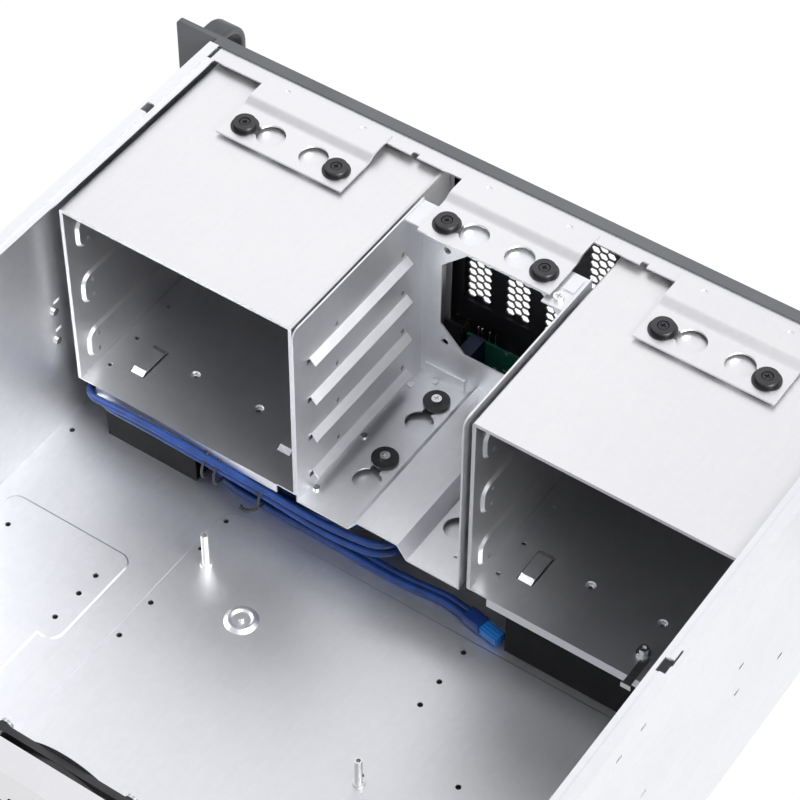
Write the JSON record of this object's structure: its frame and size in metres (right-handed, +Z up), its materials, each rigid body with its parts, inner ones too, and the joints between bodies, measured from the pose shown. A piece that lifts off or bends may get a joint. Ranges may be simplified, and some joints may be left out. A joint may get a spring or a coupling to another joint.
{
  "type": "rackmount server case",
  "caption": "Open empty rackmount server case with hanging drive cages, vented front panel, bow handles, rear fans and a hank of cable.",
  "frame": {"origin": "middle of the bounding box at the underside of the floor", "axes": "+X to the case's right as seen from its front, +Y to its rear, +Z up; the front faces -Y"},
  "size_m": [0.4826, 0.4652, 0.1779],
  "materials": {
    "galvanised": "satin zinc coated sheet",
    "bright_sheet": "light satin zinc coated sheet",
    "dark_panel": "fine satin dark grey paint",
    "cover_plastic": "fine matte",
    "black_plastic": "satin",
    "grommet_rubber": "satin moulded rubber",
    "screw_steel": "bright plated",
    "black_screw": "black oxide",
    "board_green": "gloss solder mask",
    "cable_blue": "satin jacket",
    "plug_blue": "satin moulded",
    "lens_clear": "clear moulded",
    "pin_metal": "bright"
  },
  "bodies": {
    "case": {"chassis_tub": "galvanised", "front_frame": "bright_sheet", "rear_wall": "bright_sheet", "rear_tray": "galvanised", "cage_foot_right": "dark_panel", "cage_foot_left": "dark_panel", "cage_rail": "galvanised", "front_panel": "dark_panel", "handle_right": "dark_panel", "handle_left": "dark_panel", "indicator_lenses": "lens_clear", "port_board": "board_green", "lamp_board": "black_plastic", "port_shells": "pin_metal", "board_pins": "pin_metal", "board_socket": "plug_blue", "drive_cage": "galvanised", "drive_cage_top": "galvanised", "drive_cage_screw": "screw_steel", "bracket_grommets": "grommet_rubber", "bracket_screws": "black_screw", "floor_grommets": "grommet_rubber", "floor_grommet_screws": "screw_steel", "cage_rivets": "screw_steel", "wall_rivets": "screw_steel", "floor_standoff_tall": "screw_steel", "floor_standoff_short": "screw_steel", "cage_clamp": "screw_steel", "cage_clamp_screw": "screw_steel", "slot_blanks": "galvanised", "slot_screws": "screw_steel", "fan_screws": "screw_steel", "cable_hank": "cable_blue", "cable_ties": "black_plastic", "cable_tail_a": "cable_blue", "cable_tail_b": "cable_blue", "cable_lead_a": "cable_blue", "cable_lead_b": "cable_blue", "tail_plug": "plug_blue", "bay_cover_1": "cover_plastic", "bay_cover_2": "cover_plastic", "bay_cover_3": "cover_plastic", "bay_cover_4": "cover_plastic", "bay_cover_5": "cover_plastic", "bay_cover_6": "cover_plastic", "cage_right_shell": "bright_sheet", "cage_right_floor": "galvanised", "cage_left_shell": "bright_sheet", "cage_left_floor": "galvanised", "bracket_right": "bright_sheet", "bracket_middle": "bright_sheet", "bracket_left": "bright_sheet", "fan_1_frame": "black_plastic", "fan_1_guard": "black_screw", "fan_2_frame": "black_plastic", "fan_2_guard": "black_screw"},
    "power_button": {"power_button": "black_plastic"},
    "reset_button": {"reset_button": "black_plastic"},
    "fan_1_rotor": {"fan_1_rotor": "black_plastic"},
    "fan_2_rotor": {"fan_2_rotor": "black_plastic"}
  },
  "joints": [
    {"name": "power_press", "type": "slide", "parent": "case", "child": "power_button", "axis": [0, 1, 0], "range_m": [0, 0.0015], "stiffness_N_per_m": 900},
    {"name": "reset_press", "type": "slide", "parent": "case", "child": "reset_button", "axis": [0, 1, 0], "range_m": [0, 0.0015], "stiffness_N_per_m": 700},
    {"name": "fan_1_spin", "type": "hinge", "parent": "case", "child": "fan_1_rotor", "pos_m": [-0.013, 0.21725, 0.126], "axis": [0, 1, 0], "continuous": true},
    {"name": "fan_2_spin", "type": "hinge", "parent": "case", "child": "fan_2_rotor", "pos_m": [0.069, 0.21725, 0.126], "axis": [0, 1, 0], "continuous": true}
  ]
}
